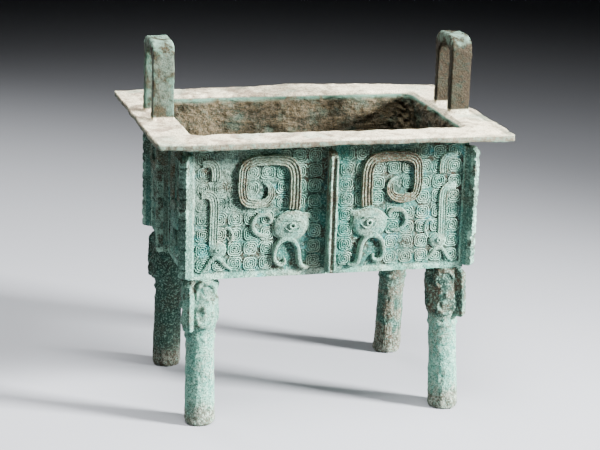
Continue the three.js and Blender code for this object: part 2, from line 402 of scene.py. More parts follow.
def is_on_wall(place):
    """True on the outer walls that bear the relief."""
    out = max(abs(place.x) - BOX_HALF.x, abs(place.y) - BOX_HALF.y)
    return -1 < out < 0.8 and BOX_BOTTOM < place.z < RIM_BOTTOM


def share_of_wear(place, on_walls):
    """How much of the noise moves a point."""
    if is_inside(place):
        return WEAR_INSIDE
    if is_on_wall(place):
        return on_walls + WEAR_WHERE_EATEN * eaten(place)
    return 1


def roughened(piece, wide, fine, on_walls=0.35):
    """Push each point along its normal by noise. The feet never go below the ground."""
    normals = [vertex.normal.copy() for vertex in piece.data.vertices]
    for vertex, normal in zip(piece.data.vertices, normals):
        place = vertex.co / MM
        push = wide * noise.noise(place * WIDE_NOISE) + fine * noise.noise(place * FINE_NOISE)
        vertex.co += normal * push * share_of_wear(place, on_walls) * MM
        vertex.co.z = max(vertex.co.z, 0)


roughened(casting, wide=0.5, fine=0.4)
print("roughened", len(casting.data.vertices), "points of", casting.name)

# %% [markdown]
# The rim of the real vessel isn't level any more. It sags and lifts by about a millimetre
# along its length, its back edge is arched, and its edge is nibbled. It could be bent by
# hand, but a slow wave and a second noise do it evenly: they move the rim's points, more
# the further out they lie, so the walls under it stay straight.

# %% Wear of the rim
RIM_SAG = 0.5
RIM_DROP = 0.4
RIM_ARCH = 1.3
RIM_BEND = 15
RIM_EDGE = 3
BITE = 1.1


def worn_rim(piece):
    """Let the rim sag and lift a little along its length, and nibble its edge."""
    for vertex in piece.data.vertices:
        place = vertex.co / MM
        out = max(abs(place.x) - BOX_HALF.x, abs(place.y) - BOX_HALF.y)
        if out < 0 or not RIM_BOTTOM - 1 < place.z < RIM_TOP + 1:
            continue
        sag = RIM_SAG * math.sin(place.x * 0.045 + 0.6) - RIM_DROP
        arch = RIM_ARCH * math.cos(place.x * 0.016) if place.y > BOX_HALF.y else 0
        vertex.co.z += (sag + arch) * min(1, out / RIM_BEND) * MM
        bite = BITE * max(0, noise.noise(place * 0.07) + 0.3 * noise.noise(place * 0.35) - 0.1)
        if abs(place.x) > RIM_HALF.x - RIM_EDGE:
            vertex.co.x -= math.copysign(bite, place.x) * MM
        if abs(place.y) > RIM_HALF.y - RIM_EDGE:
            vertex.co.y -= math.copysign(bite, place.y) * MM


worn_rim(casting)
print("rim reaches", round(max(vertex.co.x for vertex in casting.data.vertices) / MM, 1), "mm")

# %% [markdown]
# Flanges stand where the parts of the mould met: on the corners and the middles of the
# sides. Each is a block that is subdivided along its height, so that the points of its
# outer edge can be moved. They are drawn in at each notch of a corner flange, and the top is
# stepped back to a narrow neck under the rim. Notches could be cut one by one, but
# moving points needs no boolean and keeps them evenly spaced.

# %% Shape of a flange
FLANGE_BOTTOM = 86
FLANGE_TOP = 154.6
FLANGE_ROOT = 3.4
FLANGE_STEP = 0.5
FLANGE_FOOT = 1
NECK = 3.2
NOTCH_PITCH = 5.7
NOTCH_SHARE = 0.18
NOTCH_DEPTH = 0.8


def flange(reach, thickness, bottom, top, notched=True):
    """A flange on the vertical axis, whose reach is along +X."""
    rib = block("flange", (-FLANGE_ROOT, -thickness / 2, bottom), (reach, thickness / 2, top))
    pick(rib, "EDGE", is_upright)
    bpy.ops.mesh.subdivide(number_cuts=int((top - bottom) / FLANGE_STEP))
    bpy.ops.object.mode_set(mode="OBJECT")
    for vertex in rib.data.vertices:
        if vertex.co.x < 0:
            continue
        height = vertex.co.z / MM - bottom
        below_top = top - bottom - height
        phase = height % NOTCH_PITCH / NOTCH_PITCH
        drawn_in = 0
        if below_top < NECK:
            drawn_in = (1 - below_top / NECK) * reach / 2
        elif height < FLANGE_FOOT:
            drawn_in = FLANGE_FOOT - height
        elif notched and phase > 1 - NOTCH_SHARE:
            drawn_in = NOTCH_DEPTH
        vertex.co.x -= drawn_in * MM
    return rib


def turned_to(rib, angle, x, y):
    """Turn a flange about the vertical and carry it to its place."""
    rib.data.transform(Matrix.Translation((x * MM, y * MM, 0)) @ Matrix.Rotation(angle, 4, "Z"))
    return rib


# %% [markdown]
# A corner flange stands slantwise between two walls. A middle flange is plain-edged,
# with a long groove in its outer face, where two parts of the mould met. The
# groove is narrow and straight, so a block is cut out for it.

# %% Flanges of the box
CORNERS = [(1, 1), (-1, 1), (-1, -1), (1, -1)]
CORNER_REACH = 5.4
CORNER_THICKNESS = 5.2
MIDDLE_REACH = 7.4
MIDDLE_THICKNESS = 4.4
GROOVE_DEPTH = 1.2
GROOVE_HALF = 0.9

ribs = []
for x, y in CORNERS:
    rib = flange(CORNER_REACH, CORNER_THICKNESS, FLANGE_BOTTOM, FLANGE_TOP)
    ribs.append(turned_to(rib, math.atan2(y, x), x * BOX_HALF.x, y * BOX_HALF.y))
for quarter in range(4):
    out = BOX_HALF.y if quarter % 2 else BOX_HALF.x
    angle = quarter * math.pi / 2
    rib = flange(MIDDLE_REACH, MIDDLE_THICKNESS, FLANGE_BOTTOM, FLANGE_TOP, notched=False)
    groove = block(
        "groove",
        (MIDDLE_REACH - GROOVE_DEPTH, -GROOVE_HALF, FLANGE_BOTTOM + 2),
        (MIDDLE_REACH + OVERLAP, GROOVE_HALF, FLANGE_TOP + OVERLAP),
    )
    cut_or_add(rib, groove, "DIFFERENCE")
    ribs.append(turned_to(rib, angle, out * math.cos(angle), out * math.sin(angle)))
flanges = join(ribs, "flanges")
fuse(flanges, voxel=0.4, smoothing=1, triangles=90000)
roughened(flanges, wide=0.35, fine=0.3, on_walls=1)
print(len(ribs), "flanges,", round(FLANGE_TOP - FLANGE_BOTTOM, 1), "mm high")

# %% [markdown]
# A leg is round, a little thicker at the top where it bears a mask, with faint rings
# below. It could be spun from a profile. Here it grows from a circle that is extruded
# upwards and resized at each level, because radius and height then stand side by side
# in one short list.

# %% Bare leg
LEG_SIDES = 48
LEG_ROWS = [
    (6.6, 0), (7.8, 0.5), (8.4, 1.9), (8.3, 12), (8.0, 30), (7.9, 42), (8.3, 43), (7.9, 44),
    (7.9, 48.4), (8.7, 49.6), (8.7, 50.8), (8.0, 52), (8.6, 55), (9.6, 59), (9.9, 68), (9.5, 78),
    (9.0, 85),
]


def turned_leg():
    """The bare leg, upright on the vertical axis."""
    clear_selection()
    radius, height = LEG_ROWS[0]
    bpy.ops.mesh.primitive_circle_add(
        vertices=LEG_SIDES, radius=radius * MM, fill_type="NGON", location=(0, 0, height * MM),
    )
    leg = newly_added("leg")
    bpy.ops.object.mode_set(mode="EDIT")
    bpy.ops.mesh.select_all(action="SELECT")
    for next_radius, next_height in LEG_ROWS[1:]:
        rise = (next_height - height) * MM
        grow = next_radius / radius
        bpy.ops.mesh.extrude_region_move(TRANSFORM_OT_translate={"value": (0, 0, rise)})
        bpy.ops.transform.resize(value=(grow, grow, 1))
        radius, height = next_radius, next_height
    face_outwards(leg)
    return leg


print("a leg has", len(LEG_ROWS), "levels and is", LEG_ROWS[-1][1], "mm high")

# %% [markdown]
# Each leg bears half a mask on either side of its flange: a horn that curls over a round
# eye, a brow, and a jaw that hooks back. On the casting they are rolls laid round the leg.
# A round-section curve gives such a roll, so its points are given as a turn in degrees from
# the flange and a height.

# %% Masks on the legs
CAP_RADIUS = 9.5
MASK_LINES = [
    ([(24, 73), (28, 80), (50, 82), (74, 80.6), (88, 76), (76, 72.6)], 2.6),
    ([(26, 71), (42, 73.6), (60, 72.6), (72, 69)], 1.8),
    ([(20, 67), (24, 60.6), (42, 57.6), (64, 58), (80, 62), (70, 66)], 2.6),
    ([(92, 71), (108, 73), (122, 68), (114, 60), (98, 59)], 2.2),
    ([(104, 81), (124, 80), (136, 75)], 2.2),
    ([(150, 78), (166, 74), (170, 64), (156, 58)], 2.0),
]
MASK_EYE = (50, 67.5)
MASK_EYE_RADIUS = 2.1
MASK_TAPER = 0.5


def drawn_curve(places, dimensions, steps):
    """A smooth curve through places, ready for its section."""
    clear_selection()
    bpy.ops.curve.primitive_bezier_curve_add()
    drawn = bpy.context.active_object
    drawn.matrix_world = Matrix.Identity(4)
    drawn.data.dimensions = dimensions
    drawn.data.resolution_u = steps
    drawn.data.use_fill_caps = True
    line = drawn.data.splines[0]
    line.bezier_points.add(len(places) - len(line.bezier_points))
    for point, place in zip(line.bezier_points, places):
        point.co = Vector(place) * MM
        point.handle_left_type = "AUTO"
        point.handle_right_type = "AUTO"
    return drawn


def swept(drawn):
    """Turn a curve with its section into a closed mesh."""
    hold(drawn)
    bpy.ops.object.convert(target="MESH")
    face_outwards(drawn)
    return drawn


def round_the_leg(turn, height):
    """The place on the leg's cap at a turn in degrees from the flange."""
    angle = math.radians(turn)
    return (CAP_RADIUS * math.cos(angle), CAP_RADIUS * math.sin(angle), height)


def mask_roll(points, width, side):
    """A roll laid round the leg's cap."""
    places = [round_the_leg(side * turn, height) for turn, height in points]
    drawn = drawn_curve(places, "3D", steps=5)
    drawn.data.bevel_depth = width / 2 * MM
    drawn.data.bevel_resolution = 2
    ends = (0, len(points) - 1)
    for index, point in enumerate(drawn.data.splines[0].bezier_points):
        point.radius = MASK_TAPER if index in ends else 1
    return swept(drawn)


print("a mask has", 2 * len(MASK_LINES), "rolls and 2 eyes")

# %% [markdown]
# On the real vessel the legs stand a few millimetres unevenly and lean outwards, so each
# one is made upright, turned to its corner, and leaned so that its foot comes to the place
# that the photograph shows.

# %% Four legs
LEG_TOP = Vector((70.6, 43.1))
FOOT_SHIFTS = {(1, 1): (-1.5, 4.5), (-1, 1): (0.5, 5), (-1, -1): (0.5, 7), (1, -1): (2, 7)}
LEG_FLANGE_THICKNESS = 5
LEG_FLANGE_BOTTOM = 55
LEG_FLANGE_TOP = BOX_BOTTOM - 0.8


def lean(leg, corner):
    """Carry a leg to its corner, and lean it so that its foot stands further out."""
    shift = Vector(FOOT_SHIFTS[corner])
    for vertex in leg.data.vertices:
        drop = 1 - vertex.co.z / (BOX_BOTTOM * MM)
        vertex.co.x += corner[0] * (LEG_TOP.x + shift.x * drop) * MM
        vertex.co.y += corner[1] * (LEG_TOP.y + shift.y * drop) * MM


def masked_leg(corner):
    """A whole leg with its mask and flange, at its corner."""
    parts = [turned_leg()]
    for side in (1, -1):
        parts += [mask_roll(points, width, side) for points, width in MASK_LINES]
        parts.append(ball(round_the_leg(side * MASK_EYE[0], MASK_EYE[1]), MASK_EYE_RADIUS))
    rib = flange(
        CORNER_REACH, LEG_FLANGE_THICKNESS, LEG_FLANGE_BOTTOM, LEG_FLANGE_TOP, notched=False,
    )
    parts.append(turned_to(rib, 0, CAP_RADIUS - 1, 0))
    leg = join(parts, "leg")
    leg.data.transform(Matrix.Rotation(math.atan2(corner[1], corner[0]), 4, "Z"))
    lean(leg, corner)
    return leg


legs = join([masked_leg(corner) for corner in CORNERS], "legs")
fuse(legs, voxel=0.45, smoothing=2, triangles=120000)
roughened(legs, wide=0.5, fine=0.5)
print("legs stand on", round(min(vertex.co.z for vertex in legs.data.vertices) / MM, 2), "mm")

# %% [markdown]
# Lines in relief are drawn as curves and swept with a cross-section, as a modeller would
# lay rolls of wax on a core. Pushing up a flat wall would need a far finer mesh. A flat
# curve keeps the section upright. The section of a dragon's body has a lip on either edge
# and engraved grooves between, and that of a jaw or a crest is plain.

# %% Strokes of relief
BANDED = [
    (1, -0.4), (1, 0.45), (0.93, 0.88), (0.82, 1), (0.7, 0.92), (0.62, 0.6), (0.5, 0.6),
    (0.42, 0.84), (0.2, 0.84), (0.12, 0.62),
]
ROUNDED = [(1, -0.4), (1, 0.3), (0.86, 0.72), (0.5, 0.96), (0.15, 1)]


def section_curve(half_outline, rise):
    """A closed section from its right half. rise is the height over half the width."""
    outline = half_outline + [(-x, y) for x, y in reversed(half_outline)]
    data = bpy.data.curves.new("section", "CURVE")
    data.dimensions = "2D"
    line = data.splines.new("POLY")
    line.points.add(len(outline) - 1)
    for point, (x, y) in zip(line.points, outline):
        point.co = (x, y * rise, 0, 1)
    line.use_cyclic_u = True
    section = bpy.data.objects.new("section", data)
    bpy.context.collection.objects.link(section)
    return section


def stroke(points, widths, height, outline=ROUNDED, steps=6):
    """Sweep a section along points on the ground plane."""
    drawn = drawn_curve([(u, v, 0) for u, v in points], "2D", steps)
    section = section_curve(outline, 2 * height / max(widths))
    drawn.data.bevel_mode = "OBJECT"
    drawn.data.bevel_object = section
    for point, width in zip(drawn.data.splines[0].bezier_points, widths):
        point.radius = width / 2 * MM
    swept(drawn)
    bpy.data.objects.remove(section)
    return drawn


# %% [markdown]
# A head is broad and swells evenly, which no stroke gives. It is a ball, flattened and
# half sunk in the wall. Its heights are raised to a power below one, which makes the
# top flatter and the sides steeper. A torus primitive is the ring of an eye.

# %% Domes and rings of relief
DOME_SINK = -0.2
DOME_FLATNESS = 0.7
RING_THICKNESS = 0.36


def dome(centre, half, height, tilt=0):
    """A flat-topped ball, half sunk in the ground. half is its half length and half height."""
    clear_selection()
    bpy.ops.mesh.primitive_uv_sphere_add(segments=48, ring_count=32, radius=1)
    cap = newly_added("dome")
    for vertex in cap.data.vertices:
        vertex.co.z = math.copysign(abs(vertex.co.z) ** DOME_FLATNESS, vertex.co.z)
    cap.data.transform(
        Matrix.Translation(Vector((*centre, DOME_SINK)) * MM)
        @ Matrix.Rotation(math.radians(tilt), 4, "Z")
        @ Matrix.Diagonal((half[0] * MM, half[1] * MM, height * MM, 1))
    )
    return cap


def eye_ring(centre, radius, height):
    """A raised ring."""
    clear_selection()
    bpy.ops.mesh.primitive_torus_add(
        location=Vector((*centre, height)) * MM,
        major_segments=28,
        minor_segments=8,
        major_radius=radius * MM,
        minor_radius=RING_THICKNESS * radius * MM,
    )
    return newly_added("eye_ring")


# %% [markdown]
# The large dragon's body rises beside the middle flange, turns over in a square curl and
# coils inwards in a band with engraved lines. A crest like a C stands behind its head. The
# mouth gapes down: one raised lip runs from the hook of the jaw, over the hollow of the
# mouth, and curls up in the tip of the trunk. Each of them is one stroke, with a width at
# each of its points. The points are given as the distance from the middle of the side and
# the height above the ground.

# %% Lines of the large dragon
COIL_POINTS = [
    (20.9, 122.6), (20.5, 128), (20.5, 136), (20.9, 143.4), (23.2, 148.2), (28.6, 150.2), (37, 150.4),
    (45, 149.8), (49, 147), (50, 140.6), (49.9, 132.4), (48.2, 128), (43.8, 126.4), (38.4, 126.6),
    (34.9, 129), (33.9, 133), (35.4, 136.7), (38.6, 138.2),
]
COIL_WIDTHS = [
    6.6, 6.6, 6.6, 6.4, 6.2, 5.8, 5.6, 5.6, 5.4, 5.2, 5.2, 5.2, 5.2, 4.8, 4.4, 3.8, 3, 1.4,
]
COIL_HEIGHT = 2.8
LIP_POINTS = [
    (10.9, 89.1), (13.6, 88.7), (16.2, 90.3), (17.4, 94), (18, 98.6), (19.4, 102.6), (22.8, 105.4),
    (26.8, 105.2), (29.9, 102.6), (31.3, 98.2), (31.3, 94.4), (29.6, 91.7), (26.8, 91.1),
    (25.3, 92.8), (25.7, 94.6),
]
LIP_WIDTHS = [1.4, 2.6, 3, 3, 3, 3, 3.2, 3.2, 3, 2.8, 2.6, 2.6, 2.4, 2, 1.2]
LIP_HEIGHT = 2.9
CREST_POINTS = [
    (35.6, 115.2), (33.9, 117), (35, 119.2), (38, 119.7), (41.6, 119), (43.7, 116), (43.8, 112.4),
    (42, 109.4), (38.6, 107.9), (35.2, 108),
]
CREST_WIDTHS = [1.2, 2.2, 2.6, 2.8, 2.8, 2.8, 2.6, 2.6, 2.4, 1.4]
CREST_HEIGHT = 1.9
print("the coil is", max(COIL_WIDTHS), "mm wide at its root and", COIL_HEIGHT, "mm high")

# %% [markdown]
# The head hangs below the body, broad and smooth. Two flat domes that overlap give its
# brow and its cheek, which one dome couldn't. A ring is the eye, and two thin strokes over
# the dome are its lids, which meet in the corners of an almond. One short stroke is the
# ear, and another joins the back of the head to the crest.

# %% Head of the large dragon
HEAD_HEIGHT = 3.3
BROW = (22.4, 113.4)
BROW_HALF = (10.6, 8.2)
BROW_TILT = -4
CHEEK = (23, 110.4)
CHEEK_HALF = (9.6, 6.2)
NAPE_POINTS = [(27, 115.4), (31.4, 115.6), (34, 114.6)]
EAR_POINTS = [(16.4, 117.4), (12.6, 118.4), (10.2, 117.2)]
EYE = (22, 113.6)
EYE_RADIUS = 1.45
UPPER_LID = [(15.8, 115), (19, 116.6), (24, 116.6), (27.8, 115)]
LOWER_LID = [(15.8, 115), (19.4, 111), (24, 110.8), (27.8, 115)]
LID_WIDTHS = [0.7, 1.1, 1.1, 0.7]
LID_HEIGHT = 3.9


def large_dragon():
    """All strokes of the right-hand dragon, still apart."""
    return [
        stroke(COIL_POINTS, COIL_WIDTHS, COIL_HEIGHT, BANDED),
        stroke(LIP_POINTS, LIP_WIDTHS, LIP_HEIGHT),
        stroke(CREST_POINTS, CREST_WIDTHS, CREST_HEIGHT),
        dome(BROW, BROW_HALF, HEAD_HEIGHT, BROW_TILT),
        dome(CHEEK, CHEEK_HALF, HEAD_HEIGHT - 0.3),
        stroke(NAPE_POINTS, [6, 4, 1], height=2.0),
        stroke(EAR_POINTS, [5.4, 3.4, 1], height=2.2),
        stroke(UPPER_LID, LID_WIDTHS, LID_HEIGHT),
        stroke(LOWER_LID, LID_WIDTHS, LID_HEIGHT),
        eye_ring(EYE, EYE_RADIUS, HEAD_HEIGHT + 0.4),
    ]


def fused_motif(parts, name, triangles):
    """Join strokes and melt them into one skin, on the ground plane."""
    motif = join(parts, name)
    fuse(motif, voxel=0.22, smoothing=1, triangles=triangles)
    return motif


large_motif = fused_motif(large_dragon(), "large_dragon", 34000)

# %% [markdown]
# The narrow dragon stands beside the corner. Its body is a straight band with a rounded
# top, its head is at the foot with two jaws spread like an upturned V, and a short piece
# of its tail stands apart above it. It is flatter than the large one, so its strokes are
# low. The same tools make it, which keeps both dragons in one style.

# %% Narrow dragon
NARROW_BODY = [(65.8, 103), (65.5, 120), (65.6, 127.6), (66.8, 131), (69.4, 132), (72.8, 131.8)]
NARROW_TAIL = [(65, 139.6), (64.9, 145), (66, 148.4), (68.8, 149.6), (72.4, 149.2)]
NARROW_JAWS = [
    (55, 88.6), (59.8, 92.6), (62, 95.4), (64.4, 96.4), (66.8, 95), (69.2, 91.4), (72.4, 88),
]
NARROW_CREST = [(60.6, 111.2), (58, 112.8), (55.7, 110.6), (55.6, 107), (57.2, 103.8)]
NARROW_HEAD = (63.4, 101)
NARROW_HEAD_HALF = (5.2, 4.8)
NARROW_EYE = (63.6, 101)
NARROW_HEIGHT = 1.35


def narrow_dragon():
    """All strokes of the right-hand narrow dragon, still apart."""
    return [
        stroke(NARROW_BODY, [5.2, 5.2, 5.2, 5, 4.6, 4], NARROW_HEIGHT, BANDED),
        stroke(NARROW_TAIL, [5.2, 5.2, 5, 4.6, 4], NARROW_HEIGHT, BANDED),
        stroke(NARROW_JAWS, [1.2, 2.4, 2.4, 2.6, 2.4, 2.4, 1.2], height=1.7),
        stroke(NARROW_CREST, [1, 1.6, 1.8, 1.6, 1], height=1.3),
        dome(NARROW_HEAD, NARROW_HEAD_HALF, height=1.9),
        eye_ring(NARROW_EYE, radius=1.0, height=2.0),
    ]


narrow_motif = fused_motif(narrow_dragon(), "narrow_dragon", 12000)

# %% [markdown]
# Each motif is modelled once and copied. A mirrored copy is inside out, so its faces are
# turned back. A motif that lies on the ground plane is stood up against the front wall
# and then carried round to its side of the box. On the short sides, which the photograph
# hardly shows, only the large dragons stand, a little narrower.

# %% Dragons on the four sides
SIDES = ("front", "right", "back", "left")
SHORT_SQUEEZE = 0.93


def side_matrix(quarter):
    """From a drawing on the ground plane to the wall at this quarter turn from the front."""
    out = BOX_HALF.x if quarter % 2 else BOX_HALF.y
    stand = Matrix.Translation((0, -out * MM, 0)) @ Matrix.Rotation(math.pi / 2, 4, "X")
    return Matrix.Rotation(quarter * math.pi / 2, 4, "Z") @ stand


def copy_of(motif, matrix):
    """A copy with its own mesh, moved by a matrix, with its faces outwards."""
    piece = bpy.data.objects.new(motif.name, motif.data.copy())
    bpy.context.collection.objects.link(piece)
    piece.data.transform(matrix)
    if matrix.determinant() < 0:
        piece.data.flip_normals()
    return piece


def relief_on(quarter):
    """Both halves of one side's relief, joined."""
    motifs = [large_motif] if quarter % 2 else [large_motif, narrow_motif]
    squeeze = SHORT_SQUEEZE if quarter % 2 else 1
    copies = []
    for mirror in (1, -1):
        placed = side_matrix(quarter) @ Matrix.Diagonal((mirror * squeeze, 1, 1, 1))
        copies += [copy_of(motif, placed) for motif in motifs]
    relief = join(copies, "dragons_" + SIDES[quarter])
    roughened(relief, wide=0.1, fine=0.12, on_walls=1)
    return relief


dragons = [relief_on(quarter) for quarter in range(4)]
for motif in (large_motif, narrow_motif):
    bpy.data.objects.remove(motif)
print("dragons on", len(dragons), "sides")

# %% [markdown]
# The ground between the dragons is filled with thunder spirals: rounded squares that wind
# to their middle in nearly four turns. A spiral could be painted, but its ridges catch the
# light, so it is a real line: a flat curve of straight stretches with a ridge for its
# section. It is repeated hundreds of times, so the ridge has only a few faces round.

# %% One thunder spiral
CELL_WIDTH = 8.9
CELL_HEIGHT = 8.5
CELL_GAP = 0.3
SPIRAL_TURNS = 3.7
SPIRAL_POINTS = 14
SPIRAL_SQUARENESS = 3.6
SPIRAL_END = 0.95
RIDGE_WIDTH = 0.9
RIDGE_HEIGHT = 0.62
RIDGE = [(1, -0.5), (0.5, 0.86), (0.14, 1)]


def rounded_square(turn):
    """A place on a square with round corners: a circle pushed out along each axis."""
    power = 2 / SPIRAL_SQUARENESS
    x, y = math.cos(turn), math.sin(turn)
    return math.copysign(abs(x) ** power, x), math.copysign(abs(y) ** power, y)


def spiral():
    """One spiral cell, in the middle of the ground plane."""
    count = int(SPIRAL_POINTS * SPIRAL_TURNS)
    clear_selection()
    data = bpy.data.curves.new("spiral", "CURVE")
    data.dimensions = "2D"
    line = data.splines.new("POLY")
    line.points.add(count - 1)
    for index, point in enumerate(line.points):
        x, y = rounded_square((index + 0.5) * math.tau / SPIRAL_POINTS)
        reach = (CELL_HEIGHT / 2 - CELL_GAP) * (1 - SPIRAL_END * index / count) * MM
        point.co = (x * reach, y * reach, 0, 1)
        point.radius = RIDGE_WIDTH / 2 * MM
    section = section_curve(RIDGE, 2 * RIDGE_HEIGHT / RIDGE_WIDTH)
    data.bevel_mode = "OBJECT"
    data.bevel_object = section
    data.use_fill_caps = True
    cell = bpy.data.objects.new("spiral", data)
    bpy.context.collection.objects.link(cell)
    swept(cell)
    bpy.data.objects.remove(section)
    return cell


spiral_cell = spiral()
print("a spiral has", len(spiral_cell.data.polygons), "faces")

# %% [markdown]
# Copies of the spiral stand in rows, mirrored by turns. A founder's pattern stops where a
# dragon lies over it, so a cell whose middle is under a body, a head or a lip, or in the
# hollow of a mouth, is left out.

# %% Where no spiral shows
UNDER_COIL = 1.9
UNDER_LIP = 2.4
UNDER_NARROW = 1.4
HEAD_REACH = 7
MOUTH = (24.4, 97)
MOUTH_REACH = 7


def near_line(place, points, reach):
    """True within reach of a line through points."""
    for a, b in zip(points, points[1:]):
        a, b = Vector(a), Vector(b)
        share = between((place - a).dot(b - a) / (b - a).length_squared)
        if (place - a.lerp(b, share)).length < reach:
            return True
    return False


def covered(u, v, quarter):
    """True where the middle of a cell lies well under a dragon or in its mouth."""
    place = Vector((abs(u) / (SHORT_SQUEEZE if quarter % 2 else 1), v))
    if near_line(place, COIL_POINTS, UNDER_COIL) or near_line(place, LIP_POINTS, UNDER_LIP):
        return True
    if (place - Vector(EYE)).length < HEAD_REACH or (place - Vector(MOUTH)).length < MOUTH_REACH:
        return True
    return quarter % 2 == 0 and near_line(place, NARROW_BODY, UNDER_NARROW)


# %% [markdown]
# Corrosion has eaten some of the spirals, most of all at the upper left of the front.
# Their points sink into the wall there, by noise in two scales, so that a ridge fades out
# along its length instead of ending in a cut.

# %% Ground of spirals on the four sides
GROUND_TOP = 156.5
GROUND_BOTTOM = 88
MIDDLE_STRIP = 4.6
CORNER_STRIP = 4
GROUND_SEED = 40
LOOSE_DEPTH = 0.08
LOOSE_TURN = 0.04
DEEPEST_SINK = 0.5


def sink_worn(ground, quarter):
    """Sink the spirals into the wall where corrosion has eaten them."""
    inwards = Matrix.Rotation(quarter * math.pi / 2, 3, "Z") @ Vector((0, 1, 0))
    for vertex in ground.data.vertices:
        place = vertex.co / MM
        worn = 0.06 + 0.5 * noise.noise(place * 0.06 + Vector((4, 0, 9)))
        worn += 0.3 * eaten(place)
        worn += 0.12 * noise.noise(place * 0.7)
        vertex.co += inwards * max(0, min(DEEPEST_SINK, worn)) * MM


def ground_on(quarter, cell):
    """All spirals of one side, joined."""
    rng = random.Random(GROUND_SEED + quarter)
    half = (BOX_HALF.x if quarter % 2 == 0 else BOX_HALF.y) - CORNER_STRIP
    columns = round((half - MIDDLE_STRIP) / CELL_WIDTH)
    rows = round((GROUND_TOP - GROUND_BOTTOM) / CELL_HEIGHT)
    step = (half - MIDDLE_STRIP) / columns
    rise = (GROUND_TOP - GROUND_BOTTOM) / rows
    copies = []
    for mirror in (1, -1):
        for column in range(columns):
            for row in range(rows):
                u = mirror * (MIDDLE_STRIP + (column + 0.5) * step)
                v = GROUND_BOTTOM + (row + 0.5) * rise
                if covered(u, v, quarter):
                    continue
                hand = mirror * (-1) ** (column + row)
                depth = -rng.uniform(0, LOOSE_DEPTH)
                turn = rng.choice((0, math.pi)) + rng.uniform(-LOOSE_TURN, LOOSE_TURN)
                placed = (
                    side_matrix(quarter)
                    @ Matrix.Translation((u * MM, v * MM, depth * MM))
                    @ Matrix.Rotation(turn, 4, "Z")
                    @ Matrix.Diagonal((hand * step / CELL_HEIGHT, rise / CELL_HEIGHT, 1, 1))
                )
                copies.append(copy_of(cell, placed))
    cells = len(copies)
    ground = join(copies, "spiral_ground_" + SIDES[quarter])
    sink_worn(ground, quarter)
    print(ground.name, "has", cells, "spirals and", len(ground.data.polygons), "faces")
    return ground


grounds = [ground_on(quarter, spiral_cell) for quarter in range(4)]
bpy.data.objects.remove(spiral_cell)

# %% [markdown]
# The vessel holds a short inscription. Its place is taken to be the inside of the front
# wall, which the camera doesn't see. It is drawn as columns of shallow strokes that are no
# letters, with the same tool as the dragons.

# %% Strokes in place of the inscription
MARK_COLUMNS = 3
MARK_ROWS = 5
MARK_PITCH = Vector((13, 9))
MARK_TOP = 148
MARK_STROKES = 4
MARK_SPREAD = 3
MARK_WIDTHS = [0.5, 0.9, 0.5]
MARK_HEIGHT = 0.35
MARK_SEED = 7


def inscription():
    """Columns of short strokes on the inner face of the front wall."""
    rng = random.Random(MARK_SEED)
    marks = []
    for index in range(MARK_COLUMNS * MARK_ROWS * MARK_STROKES):
        column, row = divmod(index // MARK_STROKES, MARK_ROWS)
        across = (column - (MARK_COLUMNS - 1) / 2) * MARK_PITCH.x
        across += rng.uniform(-MARK_SPREAD, MARK_SPREAD)
        height = MARK_TOP - row * MARK_PITCH.y + rng.uniform(-MARK_SPREAD, MARK_SPREAD)
        middle = Vector((across, height))
        turn = rng.choice((0, math.pi / 4, math.pi / 2))
        half = Vector((math.cos(turn), math.sin(turn))) * rng.uniform(1, 2)
        points = [middle - half, middle, middle + half]
        marks.append(stroke(points, MARK_WIDTHS, MARK_HEIGHT, steps=2))
    text = join(marks, "inscription_strokes")
    text.data.transform(
        Matrix.Translation((0, -INSIDE_HALF.y * MM, 0))
        @ Matrix.Rotation(math.pi, 4, "Z")
        @ Matrix.Rotation(math.pi / 2, 4, "X")
    )
    return text


inscription_piece = inscription()
print("inscription has", len(inscription_piece.data.polygons), "faces")

# %% [markdown]
# The patina is one finish for the whole casting. It is built from masks that read the
# place on the vessel, because each zone has aged in its own way and a few also carry
# painted shade and highlight, and from noise that breaks their borders. Nodes wired one
# by one would be hard to read, so short calls add a node and link it: each of them returns
# the new node's output.

# %% Node helpers


def group_with(name, inputs, outputs):
    """An empty shader group with named sockets."""
    group = bpy.data.node_groups.new(name, "ShaderNodeTree")
    for label, kind in inputs:
        group.interface.new_socket(label, in_out="INPUT", socket_type=kind)
    for label, kind in outputs:
        group.interface.new_socket(label, in_out="OUTPUT", socket_type=kind)
    return group, group.nodes.new("NodeGroupInput"), group.nodes.new("NodeGroupOutput")


